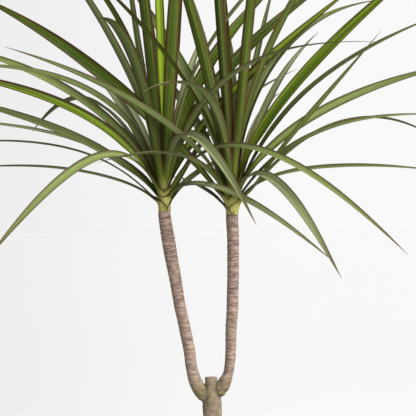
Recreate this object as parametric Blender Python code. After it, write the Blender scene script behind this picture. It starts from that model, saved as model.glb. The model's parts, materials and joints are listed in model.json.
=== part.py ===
"""A potted dragon tree: a ringed stem that forks at a pruned stump into two canes, each with a crown of
long narrow leaves, standing in soil in a plain terracotta pot.

Metres, +Z up. The origin is at the middle of the pot's underside, and the plant faces -Y.
"""

import math
import random

import bmesh
import bpy
from mathutils import Vector
from mathutils.bvhtree import BVHTree

# Pot
POT_HEIGHT = 0.190
POT_RIM_RADIUS = 0.105
POT_RIM_DEPTH = 0.032
POT_RIM_STEP = 0.005
POT_BASE_RADIUS = 0.070
POT_WALL = 0.007
POT_FLOOR = 0.010
POT_EDGE = 0.002
POT_SIDES = 40
DRAIN_COUNT = 4
DRAIN_RADIUS = 0.006
DRAIN_CIRCLE = 0.036

# Soil
SOIL_TOP = 0.166
SOIL_LUMP = 0.0022
SOIL_SIDES = 32
GAP = 0.0003

# Trunk
STEM_FOOT = 0.066
STEM_FOOT_RADIUS = 0.0140
STEM_FREE = 0.172
STUMP_TOP = 0.434
RING_PITCH = 0.0100
RING_RELIEF = 0.0005
STEM_SIDES = 12
CANE_SIDES = 10
CANE_PEG_RADIUS = 0.0058

# Crowns: where each cane ends and its green shoot begins
LEFT_CROWN = Vector((-0.062, 0.013, 0.652))
RIGHT_CROWN = Vector((0.026, -0.011, 0.648))
SHOOT_SIDES = 12

# Leaves
BLADE_THICKNESS = 0.0007
STATIONS = (0.0, 0.07, 0.18, 0.31, 0.45, 0.59, 0.73, 0.87, 1.0)
FREE_STATION = 2
CLEAR_THICKNESS = 0.004
SWAY_STEP = 0.010
MOST_SWAYS = 12
MOST_HIDDEN_SWAYS = 4
OTHER_CROWN_WEIGHT = 4
VIEWPOINT = Vector((-0.005, -2.000, 0.654))


def clear_scene():
    for thing in list(bpy.data.objects):
        bpy.data.objects.remove(thing)


def material(name, colour, roughness):
    made = bpy.data.materials.new(name)
    made.use_nodes = True
    shader = made.node_tree.nodes["Principled BSDF"]
    shader.inputs["Base Color"].default_value = (*colour, 1.0)
    shader.inputs["Roughness"].default_value = roughness
    shader.inputs["Metallic"].default_value = 0.0
    return made


def add_object(name, mesh, finish):
    mesh.materials.append(finish)
    thing = bpy.data.objects.new(name, mesh)
    bpy.context.scene.collection.objects.link(thing)
    return thing


def mesh_of(name, points, faces):
    mesh = bpy.data.meshes.new(name)
    mesh.from_pydata([tuple(point) for point in points], [], faces)
    mesh.validate()
    return mesh


def smooth(mesh, degrees):
    mesh.shade_smooth()
    mesh.set_sharp_from_angle(angle=math.radians(degrees))


def share_along(pairs, s):
    """Reads a value at s from (s, value) pairs, in straight steps."""
    for (low, first), (high, second) in zip(pairs, pairs[1:]):
        if s <= high:
            return first + (second - first) * (s - low) / (high - low)
    return pairs[-1][1]


# Pot and soil


def turned(name, profile, sides):
    """A closed solid turned round Z from (radius, height) points, which run up the outside and down inside."""
    points = []
    rings = []
    for radius, height in profile:
        if radius == 0.0:
            rings.append([len(points)] * sides)
            points.append((0.0, 0.0, height))
            continue
        rings.append(list(range(len(points), len(points) + sides)))
        for side in range(sides):
            angle = 2.0 * math.pi * side / sides
            points.append((radius * math.cos(angle), radius * math.sin(angle), height))
    faces = []
    for low, high in zip(rings, rings[1:]):
        for side in range(sides):
            following = (side + 1) % sides
            corners = [low[side], low[following], high[following], high[side]]
            faces.append(tuple(dict.fromkeys(corners)))
    return mesh_of(name, points, faces)


def pot_outer_radius(height):
    top = POT_RIM_RADIUS - POT_RIM_STEP
    return POT_BASE_RADIUS + (top - POT_BASE_RADIUS) * height / (POT_HEIGHT - POT_RIM_DEPTH)


def pot_inner_radius(height):
    return min(pot_outer_radius(height), POT_RIM_RADIUS - POT_RIM_STEP) - POT_WALL


def make_pot(finish):
    rim_low = POT_HEIGHT - POT_RIM_DEPTH
    mouth = POT_RIM_RADIUS - POT_RIM_STEP - POT_WALL
    profile = (
        (0.0, 0.0),
        (POT_BASE_RADIUS - POT_EDGE, 0.0),
        (pot_outer_radius(POT_EDGE), POT_EDGE),
        (pot_outer_radius(rim_low - POT_EDGE), rim_low - POT_EDGE),
        (POT_RIM_RADIUS - POT_EDGE, rim_low),
        (POT_RIM_RADIUS, rim_low + POT_EDGE),
        (POT_RIM_RADIUS, POT_HEIGHT - POT_EDGE),
        (POT_RIM_RADIUS - POT_EDGE, POT_HEIGHT),
        (mouth + POT_EDGE, POT_HEIGHT),
        (mouth, POT_HEIGHT - POT_EDGE),
        (mouth, rim_low),
        (pot_inner_radius(POT_FLOOR + POT_EDGE), POT_FLOOR + POT_EDGE),
        (pot_inner_radius(POT_FLOOR) - POT_EDGE, POT_FLOOR),
        (0.0, POT_FLOOR),
    )
    pot = add_object("pot", turned("pot", profile, POT_SIDES), finish)
    drains = bmesh.new()
    for number in range(DRAIN_COUNT):
        angle = 2.0 * math.pi * (number + 0.5) / DRAIN_COUNT
        made = bmesh.ops.create_cone(
            drains, cap_ends=True, segments=12, radius1=DRAIN_RADIUS, radius2=DRAIN_RADIUS, depth=4.0 * POT_FLOOR
        )
        place = Vector((DRAIN_CIRCLE * math.cos(angle), DRAIN_CIRCLE * math.sin(angle), 0.0))
        bmesh.ops.translate(drains, verts=made["verts"], vec=place)
    cutter_mesh = bpy.data.meshes.new("drains")
    drains.to_mesh(cutter_mesh)
    drains.free()
    cutter = add_object("drain_cutter", cutter_mesh, finish)
    cutter.hide_render = True
    cutter.display_type = "WIRE"
    cut = pot.modifiers.new("drains", "BOOLEAN")
    cut.operation = "DIFFERENCE"
    cut.solver = "EXACT"
    cut.object = cutter
    smooth(pot.data, 35)


def soil_height(radius, angle):
    """The lie of the soil: level, with broad lumps that flatten out at the pot and round the stem."""
    edge = min(1.0, (radius - STEM_FOOT_RADIUS) / 0.012, (pot_inner_radius(SOIL_TOP) - radius) / 0.012)
    lumps = math.sin(5.0 * angle + 90.0 * radius) + math.sin(9.0 * angle - 160.0 * radius + 1.3)
    return SOIL_TOP + SOIL_LUMP * 0.5 * lumps * max(0.0, edge)


def make_soil(finish):
    """Fills the pot to just under its rim, with a plain blind hole for the foot of the stem."""
    hole = STEM_FOOT_RADIUS + GAP
    bottom = POT_FLOOR + GAP
    wall_low = pot_inner_radius(POT_FLOOR + POT_EDGE) - 2.0 * GAP - POT_EDGE
    wall_top = pot_inner_radius(POT_HEIGHT - POT_RIM_DEPTH) - 2.0 * GAP
    top_radii = [wall_top - (wall_top - hole) * step / 6.0 for step in range(7)]
    profile = [(0.0, bottom), (wall_low, bottom), (wall_top, POT_HEIGHT - POT_RIM_DEPTH)]
    profile += [(radius, None) for radius in top_radii]
    profile += [(hole, STEM_FOOT - GAP), (0.0, STEM_FOOT - GAP)]
    points = []
    rings = []
    for radius, height in profile:
        if radius == 0.0:
            rings.append([len(points)] * SOIL_SIDES)
            points.append((0.0, 0.0, height))
            continue
        rings.append(list(range(len(points), len(points) + SOIL_SIDES)))
        for side in range(SOIL_SIDES):
            angle = 2.0 * math.pi * side / SOIL_SIDES
            level = soil_height(radius, angle) if height is None else height
            points.append((radius * math.cos(angle), radius * math.sin(angle), level))
    faces = []
    for low, high in zip(rings, rings[1:]):
        for side in range(SOIL_SIDES):
            following = (side + 1) % SOIL_SIDES
            first = tuple(dict.fromkeys((low[side], low[following], high[following])))
            second = tuple(dict.fromkeys((low[side], high[following], high[side])))
            faces += [face for face in (first, second) if len(face) == 3]
    mesh = mesh_of("soil", points, faces)
    add_object("soil", mesh, finish)
    smooth(mesh, 40)


# Trunk


def smooth_path(knots, count):
    """Evenly spaced points on a smooth curve through the knots."""
    fine = []
    for index in range(len(knots) - 1):
        before = knots[max(index - 1, 0)]
        start = knots[index]
        end = knots[index + 1]
        after = knots[min(index + 2, len(knots) - 1)]
        for step in range(12):
            t = step / 12.0
            first = (end - before) * 0.5
            last = (after - start) * 0.5
            fine.append(
                start * (2 * t**3 - 3 * t**2 + 1)
                + first * (t**3 - 2 * t**2 + t)
                + end * (-2 * t**3 + 3 * t**2)
                + last * (t**3 - t**2)
            )
    fine.append(knots[-1])
    lengths = [0.0]
    for start, end in zip(fine, fine[1:]):
        lengths.append(lengths[-1] + (end - start).length)
    found = []
    at = 0
    for number in range(count):
        wanted = lengths[-1] * number / (count - 1)
        while at < len(fine) - 2 and lengths[at + 1] < wanted:
            at += 1
        share = (wanted - lengths[at]) / (lengths[at + 1] - lengths[at])
        found.append(fine[at].lerp(fine[at + 1], share))
    return found


def ringed_tube(name, knots, radii, sides, phase, plain_below=0.0):
    """A woody length whose leaf scars stand out as rings: each ring is a ridge over a groove."""
    length = sum((end - start).length for start, end in zip(knots, knots[1:]))
    rings = round(length / RING_PITCH)
    path = smooth_path(knots, 2 * rings + 1)
    points = []
    faces = []
    for number, centre in enumerate(path):
        s = number / (len(path) - 1)
        before = path[max(number - 1, 0)]
        after = path[min(number + 1, len(path) - 1)]
        along = (after - before).normalized()
        if number in (0, len(path) - 1):
            along = Vector((0.0, 0.0, 1.0))
        across = Vector((0.0, 1.0, 0.0)).cross(along).normalized()
        out = along.cross(across)
        relief = RING_RELIEF if number % 2 else -RING_RELIEF
        if centre.z < plain_below:
            relief = 0.0
        for side in range(sides):
            angle = 2.0 * math.pi * side / sides
            uneven = 0.0 if relief == 0.0 else 0.025 * math.sin(2.0 * angle + phase + 11.0 * s)
            radius = share_along(radii, s) * (1.0 + uneven) + relief
            points.append(centre + (across * math.cos(angle) + out * math.sin(angle)) * radius)
    for ring in range(len(path) - 1):
        low = ring * sides
        high = low + sides
        for side in range(sides):
            following = (side + 1) % sides
            faces.append((low + side, low + following, high + following, high + side))
    faces.append(tuple(reversed(range(sides))))
    faces.append(tuple(range((len(path) - 1) * sides, len(path) * sides)))
    return mesh_of(name, points, faces)


def make_stem():
    """The thick lower stem, up to the flat pruning cut of its stump."""
    foot = Vector((0.0, 0.0, STEM_FOOT))
    knots = [
        foot,
        Vector((0.0, 0.0, STEM_FREE)),
        Vector((0.0015, 0.001, 0.235)),
        Vector((0.0005, -0.001, 0.310)),
        Vector((0.0005, 0.0, 0.380)),
        Vector((-0.0002, 0.0, 0.403)),
        Vector((-0.0010, 0.0, 0.420)),
        Vector((-0.0012, 0.0, STUMP_TOP)),
    ]
    span = STUMP_TOP - STEM_FOOT
    heights = (
        (STEM_FOOT, STEM_FOOT_RADIUS),
        (STEM_FREE, STEM_FOOT_RADIUS),
        (0.190, 0.0134),
        (0.230, 0.0127),
        (0.300, 0.0122),
        (0.380, 0.0119),
        (0.398, 0.0123),
        (0.411, 0.0122),
        (0.418, 0.0098),
        (0.424, 0.0080),
        (STUMP_TOP, 0.0078),
    )
    radii = [((height - STEM_FOOT) / span, radius) for height, radius in heights]
    return ringed_tube("trunk", knots, radii, STEM_SIDES, 0.0, STEM_FREE)


def make_left_cane():
    knots = [
        Vector((-0.0025, 0.000, 0.4060)),
        Vector((-0.0125, 0.000, 0.4135)),
        Vector((-0.0208, 0.001, 0.4270)),
        Vector((-0.0268, 0.002, 0.4470)),
        Vector((-0.0300, 0.003, 0.4710)),
        Vector((-0.0355, 0.005, 0.4980)),
        Vector((-0.0412, 0.007, 0.5230)),
        Vector((-0.0484, 0.009, 0.5640)),
        Vector((-0.0570, 0.012, 0.6110)),
        Vector((-0.0618, 0.013, 0.6420)),
        LEFT_CROWN,
    ]
    radii = ((0.0, 0.0088), (0.05, 0.0094), (0.11, 0.0087), (0.18, 0.0073), (0.35, 0.0075), (0.6, 0.0079),
             (0.83, 0.0086), (0.98, 0.0080), (1.0, CANE_PEG_RADIUS))
    return ringed_tube("left_cane", knots, radii, CANE_SIDES, 1.0)


def make_right_cane():
    knots = [
        Vector((0.0020, 0.000, 0.4115)),
        Vector((0.0115, 0.000, 0.4205)),
        Vector((0.0187, -0.001, 0.4325)),
        Vector((0.0226, -0.002, 0.4470)),
        Vector((0.0243, -0.003, 0.4710)),
        Vector((0.0249, -0.005, 0.4980)),
        Vector((0.0265, -0.006, 0.5270)),
        Vector((0.0272, -0.008, 0.5640)),
        Vector((0.0272, -0.010, 0.6110)),
        Vector((0.0261, -0.011, 0.6400)),
        RIGHT_CROWN,
    ]
    radii = ((0.0, 0.0088), (0.05, 0.0098), (0.09, 0.0086), (0.14, 0.0066), (0.25, 0.0070), (0.6, 0.0076),
             (0.83, 0.0078), (0.98, 0.0078), (1.0, CANE_PEG_RADIUS))
    return ringed_tube("right_cane", knots, radii, CANE_SIDES, 2.5)


def keep_largest_shell(mesh):
    """Fills the small hollows that fusing seals between leaf bases, and drops loose scraps."""
    body = bmesh.new()
    body.from_mesh(mesh)
    left = set(body.faces)
    shells = []
    while left:
        shell = set()
        edge = [left.pop()]
        while edge:
            face = edge.pop()
            shell.add(face)
            for side in face.edges:
                if len(side.link_faces) != 2:
                    continue
                for neighbour in side.link_faces:
                    if neighbour in left:
                        left.remove(neighbour)
                        edge.append(neighbour)
        shells.append(shell)
    shells.sort(key=len)
    for shell in shells[:-1]:
        bmesh.ops.delete(body, geom=list(shell), context="FACES")
    body.to_mesh(mesh)
    body.free()


def joined(name, first, others, finish):
    """One body: the first mesh with the others fused to it."""
    base = add_object(name, first, finish)
    repeats = bpy.data.collections.new(name + "_repeats")
    bpy.context.scene.collection.children.link(repeats)
    for number, mesh in enumerate(others):
        mesh.materials.append(finish)
        repeats.objects.link(bpy.data.objects.new(f"{name}_repeat_{number}", mesh))
    union = base.modifiers.new("join", "BOOLEAN")
    union.operation = "UNION"
    union.operand_type = "COLLECTION"
    union.collection = repeats
    union.solver = "EXACT"
    bpy.context.view_layer.update()
    graph = bpy.context.evaluated_depsgraph_get()
    whole = bpy.data.meshes.new_from_object(base.evaluated_get(graph))
    base.modifiers.remove(union)
    keep_largest_shell(whole)
    base.data = whole
    for thing in list(repeats.objects):
        bpy.data.objects.remove(thing)
    bpy.data.collections.remove(repeats)
    return base


def make_trunk(finish):
    trunk = joined("trunk", make_stem(), [make_left_cane(), make_right_cane()], finish)
    smooth(trunk.data, 60)


# Leaves

# Each row: tip (x, y, z from the foot of its shoot), knee (share of the way out to the tip, height),
# width and roll in degrees. A leaf leaves its shoot towards its knee and bends over it to its tip.
LEFT_LEAVES = (
    ((-0.275, -0.060, 0.181), (0.17, 0.200), 0.014, -40),
    ((-0.312, 0.040, 0.224), (0.21, 0.172), 0.014, -50),
    ((-0.304, -0.040, 0.180), (0.20, 0.148), 0.015, -60),
    ((-0.307, -0.020, 0.155), (0.18, 0.094), 0.014, -50),
    ((-0.315, 0.060, 0.121), (0.17, 0.108), 0.012, -25),
    ((-0.308, 0.090, 0.086), (0.33, 0.116), 0.010, 10),
    ((-0.206, -0.230, -0.066), (0.27, 0.157), 0.015, -35),
    ((-0.270, -0.050, 0.052), (0.23, 0.067), 0.011, 10),
    ((-0.203, 0.260, 0.115), (0.45, 0.232), 0.013, 20),
    ((-0.188, 0.060, 0.394), (0.08, 0.181), 0.013, 70),
    ((-0.157, 0.020, 0.373), (0.08, 0.226), 0.015, 60),
    ((-0.074, -0.200, 0.225), (0.45, 0.250), 0.016, 5),
    ((-0.066, 0.100, 0.423), (0.60, 0.213), 0.013, 20),
    ((-0.044, -0.075, 0.427), (0.50, 0.233), 0.017, 10),
    ((-0.014, 0.045, 0.425), (0.50, 0.235), 0.013, 0),
    ((0.025, -0.115, 0.403), (0.35, 0.205), 0.017, -10),
    ((0.175, 0.120, 0.335), (0.07, 0.180), 0.016, 50),
    ((0.255, 0.120, 0.336), (0.09, 0.178), 0.016, 55),
    ((0.255, -0.215, 0.197), (0.157, 0.220), 0.011, 0),
    ((0.158, -0.100, 0.317), (0.10, 0.215), 0.011, -25),
    ((0.293, -0.200, -0.054), (0.25, 0.173), 0.014, 25),
    ((0.207, -0.180, -0.062), (0.17, 0.078), 0.014, 20),
    ((0.111, -0.290, -0.018), (0.135, 0.182), 0.016, 15),
    ((0.110, 0.100, 0.075), (0.35, 0.062), 0.011, 20),
    ((0.270, 0.100, 0.316), (0.10, 0.122), 0.015, 55),
)
RIGHT_LEAVES = (
    ((-0.350, 0.060, 0.295), (0.39, 0.188), 0.018, -65),
    ((-0.283, -0.090, 0.205), (0.18, 0.135), 0.013, -50),
    ((-0.201, -0.110, 0.313), (0.15, 0.180), 0.011, 5),
    ((-0.166, 0.110, 0.344), (0.15, 0.165), 0.014, -50),
    ((-0.099, -0.050, 0.396), (0.31, 0.211), 0.015, 50),
    ((-0.105, -0.260, 0.136), (0.13, 0.205), 0.015, 0),
    ((-0.035, -0.030, 0.451), (0.40, 0.250), 0.014, 30),
    ((0.044, -0.060, 0.432), (0.30, 0.198), 0.014, -30),
    ((0.000, 0.260, 0.260), (0.30, 0.190), 0.014, 0),
    ((0.150, 0.060, 0.390), (0.08, 0.190), 0.014, -60),
    ((0.268, -0.030, 0.338), (0.12, 0.155), 0.017, 65),
    ((0.222, 0.200, 0.303), (0.10, 0.262), 0.013, 20),
    ((0.281, 0.030, 0.262), (0.22, 0.183), 0.012, 30),
    ((0.182, -0.100, 0.224), (0.45, 0.105), 0.011, 50),
    ((0.300, -0.020, 0.193), (0.19, 0.143), 0.014, 60),
    ((0.298, 0.050, 0.130), (0.25, 0.137), 0.012, 25),
    ((0.304, 0.220, 0.100), (0.50, 0.194), 0.011, 0),
    ((0.288, 0.030, 0.052), (0.17, 0.082), 0.012, 25),
    ((0.117, -0.280, -0.072), (0.25, 0.116), 0.016, 20),
    ((-0.085, 0.040, 0.046), (0.55, 0.048), 0.011, -10),
    ((-0.160, -0.190, 0.060), (0.22, 0.100), 0.012, 0),
)
# Leaves that the others hide: how many, and the first one's compass turn in degrees (180 is away from -Y)
LEFT_HIDDEN = (12, 150.0)
RIGHT_HIDDEN = (12, 205.0)
GOLDEN_TURN = 137.508
HIDDEN_SEED = 7


def hidden_leaves(count, first_turn):
    """Leaves at the back and in the heart of a crown, spaced by the golden angle, younger ones steeper."""
    draw = random.Random(HIDDEN_SEED)
    rows = []
    for number in range(count):
        age = number / (count - 1)
        spread = 30.0 - 18.0 * age
        turn = 180.0 + spread * math.sin(math.radians(first_turn + GOLDEN_TURN * number))
        tip_rise = math.radians(28.0 + 52.0 * age + draw.uniform(-4.0, 4.0))
        knee_rise = math.radians(52.0 + 32.0 * age + draw.uniform(-3.0, 3.0))
        length = 0.400 - 0.110 * max(0.0, age - 0.6) / 0.4 + draw.uniform(-0.02, 0.02)
        out = Vector((math.sin(math.radians(turn)), -math.cos(math.radians(turn)), 0.0))
        tip = out * length * math.cos(tip_rise) + Vector((0.0, 0.0, length * math.sin(tip_rise)))
        share = 0.45 * math.cos(knee_rise) / math.cos(tip_rise)
        knee = (share, 0.45 * length * math.sin(knee_rise))
        rows.append((tuple(tip), knee, draw.uniform(0.011, 0.014), draw.uniform(-20.0, 20.0)))
    return rows


def blade_share(s):
    """Half-width along a leaf: a broad clasping sheath, a narrow neck, widest near the middle, a long point."""
    return share_along(
        ((0.0, 0.42), (0.07, 0.36), (0.18, 0.37), (0.45, 0.50), (0.65, 0.46), (0.87, 0.23), (1.0, 0.04)),
        s,
    )


def leaf_sections(row):
    """Centre, side and up vectors and half-width at each station of a leaf."""
    tip, (share, knee_height), width, roll = row
    tip = Vector(tip)
    knee = Vector((tip.x * share, tip.y * share, knee_height))
    rise = math.degrees(math.atan2(knee.z, math.hypot(knee.x, knee.y)))
    steep = max(0.0, rise - 30.0) / 60.0
    flat = Vector((tip.x, tip.y, 0.0)).normalized()
    root = flat * (0.0065 - 0.0035 * steep) + Vector((0.0, 0.0, 0.002 + 0.030 * steep**2))
    across = Vector((-flat.y, flat.x, 0.0))
    sections = []
    for s in STATIONS:
        centre = root * (1.0 - s) ** 2 + knee * 2.0 * s * (1.0 - s) + tip * s**2
        along = ((knee - root) * (1.0 - s) + (tip - knee) * s).normalized()
        side = (across - along * across.dot(along)).normalized()
        up = along.cross(side)
        rolled = math.radians(roll) * min(1.0, s / 0.3)
        side_now = side * math.cos(rolled) + up * math.sin(rolled)
        up_now = up * math.cos(rolled) - side * math.sin(rolled)
        sections.append((centre, side_now, up_now, width * blade_share(s)))
    return sections


def leaf_mesh(name, sections, origin, thickness=BLADE_THICKNESS):
    """A closed blade, split into triangles alike on both faces."""
    points = []
    for centre, side, up, half in sections:
        for across, above in ((-1.0, 0.5), (1.0, 0.5), (1.0, -0.5), (-1.0, -0.5)):
            points.append(origin + centre + side * half * across + up * thickness * above)
    faces = []
    for number in range(len(sections) - 1):
        low = 4 * number
        high = low + 4
        for a, b in ((0, 1), (3, 2)):
            first = (low + a, low + b, high + a)
            second = (low + b, high + b, high + a)
            faces += [first, second] if a == 0 else [first[::-1], second[::-1]]
        for a, b in ((1, 2), (3, 0)):
            faces += [(low + a, low + b, high + a), (low + b, high + b, high + a)]
    last = 4 * (len(sections) - 1)
    faces += [(0, 3, 1), (3, 2, 1), (last, last + 1, last + 3), (last + 3, last + 1, last + 2)]
    return mesh_of(name, points, faces)


def bounding_tree(mesh):
    points = [vertex.co for vertex in mesh.vertices]
    faces = [tuple(face.vertices) for face in mesh.polygons]
    return BVHTree.FromPolygons(points, faces)


def shoot_mesh(name, origin):
    """The short green shoot that the leaf bases wrap. Its foot is a cup round the peg at the cane's top."""
    profile = (
        (0.0, GAP),
        (CANE_PEG_RADIUS + GAP, GAP),
        (0.0078, -0.0030),
        (0.0086, -0.0030),
        (0.0088, 0.0030),
        (0.0080, 0.0100),
        (0.0064, 0.0200),
        (0.0046, 0.0320),
        (0.0028, 0.0440),
        (0.0, 0.0560),
    )
    mesh = turned(name, profile, SHOOT_SIDES)
    for vertex in mesh.vertices:
        vertex.co += origin
    return mesh


def sway_lengths(most):
    """0, then ever longer steps to one side and the other, up to that many."""
    yield 0.0
    for step in range(1, most + 1):
        yield step * SWAY_STEP
        yield -step * SWAY_STEP


def lay_out(crowns):
    """The rows of each crown with their tips moved as little as it takes for every leaf to pass the others.

    A leaf that the front shows moves along the line of sight. One of the hidden ones moves sideways, and is
    left out where it finds no clear place.
    """
    placed = []
    for number, (origin, _, _) in enumerate(crowns):
        placed.append((number, bounding_tree(shoot_mesh("trial", origin)), None))
    settled = [[] for _ in crowns]
    longest = max(len(shown) + len(hidden) for _, shown, hidden in crowns)
    for index in range(longest):
        for number, (origin, shown, hidden) in enumerate(crowns):
            if index >= len(shown) + len(hidden):
                continue
            if index < len(shown):
                tip, knee, width, roll = shown[index]
                heading = (origin + Vector(tip) - VIEWPOINT).normalized()
                most = MOST_SWAYS
            else:
                tip, knee, width, roll = hidden[index - len(shown)]
                heading = Vector((-tip[1], tip[0], 0.0)).normalized()
                most = MOST_HIDDEN_SWAYS
            best = None
            for length in sway_lengths(most):
                row = (Vector(tip) + heading * length, knee, width, roll)
                sections = leaf_sections(row)
                whole = bounding_tree(leaf_mesh("trial", sections, origin, CLEAR_THICKNESS))
                free = bounding_tree(leaf_mesh("trial", sections[FREE_STATION:], origin, CLEAR_THICKNESS))
                crossed = 0
                for other, other_whole, other_free in placed:
                    if other != number:
                        crossed += OTHER_CROWN_WEIGHT * len(whole.overlap(other_whole))
                    elif other_free is not None:
                        crossed += len(free.overlap(other_free))
                if best is None or crossed < best[0]:
                    best = (crossed, row, whole, free)
                if crossed == 0:
                    break
            if best[0] > 0 and index >= len(shown):
                continue
            settled[number].append(best[1])
            placed.append((number, best[2], best[3]))
    return settled


def make_crown(name, origin, rows, finish):
    blades = []
    for number, row in enumerate(rows):
        blades.append(leaf_mesh(f"{name}_leaf_{number}", leaf_sections(row), origin))
    crown = joined(name, shoot_mesh(name, origin), blades, finish)
    smooth(crown.data, 50)


def make_crowns(finish):
    left_rows, right_rows = lay_out(
        (
            (LEFT_CROWN, LEFT_LEAVES, hidden_leaves(*LEFT_HIDDEN)),
            (RIGHT_CROWN, RIGHT_LEAVES, hidden_leaves(*RIGHT_HIDDEN)),
        )
    )
    make_crown("crown_left", LEFT_CROWN, left_rows, finish)
    make_crown("crown_right", RIGHT_CROWN, right_rows, finish)


clear_scene()
make_pot(material("terracotta", (0.52, 0.24, 0.14), 0.85))
make_soil(material("potting_soil", (0.045, 0.030, 0.020), 0.95))
make_trunk(material("ringed_bark", (0.33, 0.25, 0.19), 0.80))
make_crowns(material("leaf_green", (0.09, 0.19, 0.04), 0.45))
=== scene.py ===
"""The potted dragon tree as the photo shows it: ringed canes and two crowns of long leaves with dark red
margins. The pot and the soil stand below the photo's edge.
"""

import json
import math
import random

import bmesh
import bpy
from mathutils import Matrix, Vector, noise
from mathutils.bvhtree import BVHTree
from mathutils.kdtree import KDTree

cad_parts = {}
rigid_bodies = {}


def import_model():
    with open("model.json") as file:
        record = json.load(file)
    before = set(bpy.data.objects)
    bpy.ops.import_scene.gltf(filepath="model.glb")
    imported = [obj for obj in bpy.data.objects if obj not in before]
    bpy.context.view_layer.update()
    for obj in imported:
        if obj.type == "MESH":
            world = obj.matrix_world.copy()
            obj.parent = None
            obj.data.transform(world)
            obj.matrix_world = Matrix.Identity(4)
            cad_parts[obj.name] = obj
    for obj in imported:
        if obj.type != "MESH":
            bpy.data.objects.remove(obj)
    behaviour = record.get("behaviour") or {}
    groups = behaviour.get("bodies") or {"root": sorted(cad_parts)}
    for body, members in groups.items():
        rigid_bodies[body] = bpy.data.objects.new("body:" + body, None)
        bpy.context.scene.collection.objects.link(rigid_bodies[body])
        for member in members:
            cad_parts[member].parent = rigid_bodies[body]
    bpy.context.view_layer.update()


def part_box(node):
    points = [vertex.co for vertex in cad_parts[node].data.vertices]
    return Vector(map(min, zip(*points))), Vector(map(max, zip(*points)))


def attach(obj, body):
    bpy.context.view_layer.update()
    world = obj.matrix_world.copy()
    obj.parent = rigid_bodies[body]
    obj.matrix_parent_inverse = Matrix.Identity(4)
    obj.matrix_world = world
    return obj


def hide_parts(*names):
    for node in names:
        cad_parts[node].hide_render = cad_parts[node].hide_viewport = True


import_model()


# Clay pot
# A plain round pot of red earthenware, pressed in a mould and fired without a glaze. It has a straight deep
# rim, a flat floor and four drain holes. Water has left a pale bloom of salts on its outside.

pot_low, pot_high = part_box("pot")
POT_HEIGHT = pot_high[2]
RIM_RADIUS = pot_high[0]
RIM_DEPTH = 0.032
RIM_STEP = 0.005
BASE_RADIUS = 0.070
WALL = 0.007
FLOOR = 0.010
POT_SIDES = 112
PROFILE_STEP = 0.0032
RIM_EASE = 0.0026
DRAIN_RADIUS = 0.006
DRAIN_CIRCLE = 0.036
DRAIN_HOLES = 4
CLAY_DARK = (0.29, 0.098, 0.047)
CLAY_LIGHT = (0.49, 0.195, 0.105)
CLAY_SPECK = (0.30, 0.12, 0.07)
CLAY_DAMP = (0.25, 0.10, 0.055)
SALTS = (0.62, 0.48, 0.38)


def rounded(corners, radius, steps=4):
    """The outline through the corners, with every inner corner eased over that radius."""
    outline = [Vector(corners[0])]
    for before, corner, after in zip(corners, corners[1:], corners[2:]):
        before, corner, after = Vector(before), Vector(corner), Vector(after)
        back = min(radius, (before - corner).length * 0.45)
        ahead = min(radius, (after - corner).length * 0.45)
        start = corner + (before - corner).normalized() * back
        end = corner + (after - corner).normalized() * ahead
        for step in range(steps + 1):
            t = step / steps
            outline.append(start * (1 - t) ** 2 + corner * 2 * t * (1 - t) + end * t**2)
    outline.append(Vector(corners[-1]))
    return outline


def filled_in(outline, longest):
    """The same outline with points added, so that no stretch is longer than that."""
    points = [outline[0]]
    for start, end in zip(outline, outline[1:]):
        count = max(1, math.ceil((end - start).length / longest))
        points += [start.lerp(end, step / count) for step in range(1, count + 1)]
    return points


def spot_round(radius, angle, height=0.0):
    """The point at that radius and angle round the Z axis."""
    return Vector((radius * math.cos(angle), radius * math.sin(angle), height))


def clamped(value):
    return min(1.0, max(0.0, value))


def turned_shell(profile, sides, place):
    """Points and faces of a closed shell turned round Z. place(radius, height, angle) gives each point."""
    points = []
    rings = []
    for radius, height in profile:
        if radius < 1e-6:
            rings.append([len(points)] * sides)
            points.append(place(0.0, height, 0.0))
            continue
        rings.append(list(range(len(points), len(points) + sides)))
        points += [place(radius, height, 2 * math.pi * side / sides) for side in range(sides)]
    faces = []
    for low, high in zip(rings, rings[1:]):
        for side in range(sides):
            following = (side + 1) % sides
            corners = (low[side], low[following], high[following], high[side])
            faces.append(tuple(dict.fromkeys(corners)))
    return points, faces


def new_object(name, data):
    """A new object in the scene."""
    made = bpy.data.objects.new(name, data)
    bpy.context.scene.collection.objects.link(made)
    return made


def bare_mesh(name, points, faces):
    mesh = bpy.data.meshes.new(name)
    mesh.from_pydata([tuple(point) for point in points], [], faces)
    return mesh


def soften(mesh, sharp_angle):
    """Smooth shading, with the edges sharp where the faces turn by more than that many degrees."""
    mesh.shade_smooth()
    mesh.set_sharp_from_angle(angle=math.radians(sharp_angle))


def piece(name, points, faces, finish, stands_for, sharp_angle=40):
    """A shown piece in its finish, which rides with the plant and stands for a node of the frame."""
    mesh = bare_mesh(name, points, faces)
    mesh.validate()
    soften(mesh, sharp_angle)
    made = new_object(name, mesh)
    mesh.materials.append(finish)
    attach(made, "root")
    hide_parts(stands_for)
    return made


def reshape(made, operation, **others):
    """Changes a piece by a boolean with another object or with a collection of them."""
    change = made.modifiers.new(operation.lower(), "BOOLEAN")
    change.operation = operation
    change.solver = "MANIFOLD"
    for key, value in others.items():
        setattr(change, key, value)
    bpy.context.view_layer.update()
    changed = bpy.data.meshes.new_from_object(made.evaluated_get(bpy.context.evaluated_depsgraph_get()))
    made.modifiers.remove(change)
    made.data = changed


def ring_faces(count, size):
    """The faces between each ring of points and the next, for that many rings of that size."""
    faces = []
    for ring in range(count - 1):
        low = ring * size
        high = low + size
        for side in range(size):
            following = (side + 1) % size
            faces.append((low + side, low + following, high + following, high + side))
    return faces


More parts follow.
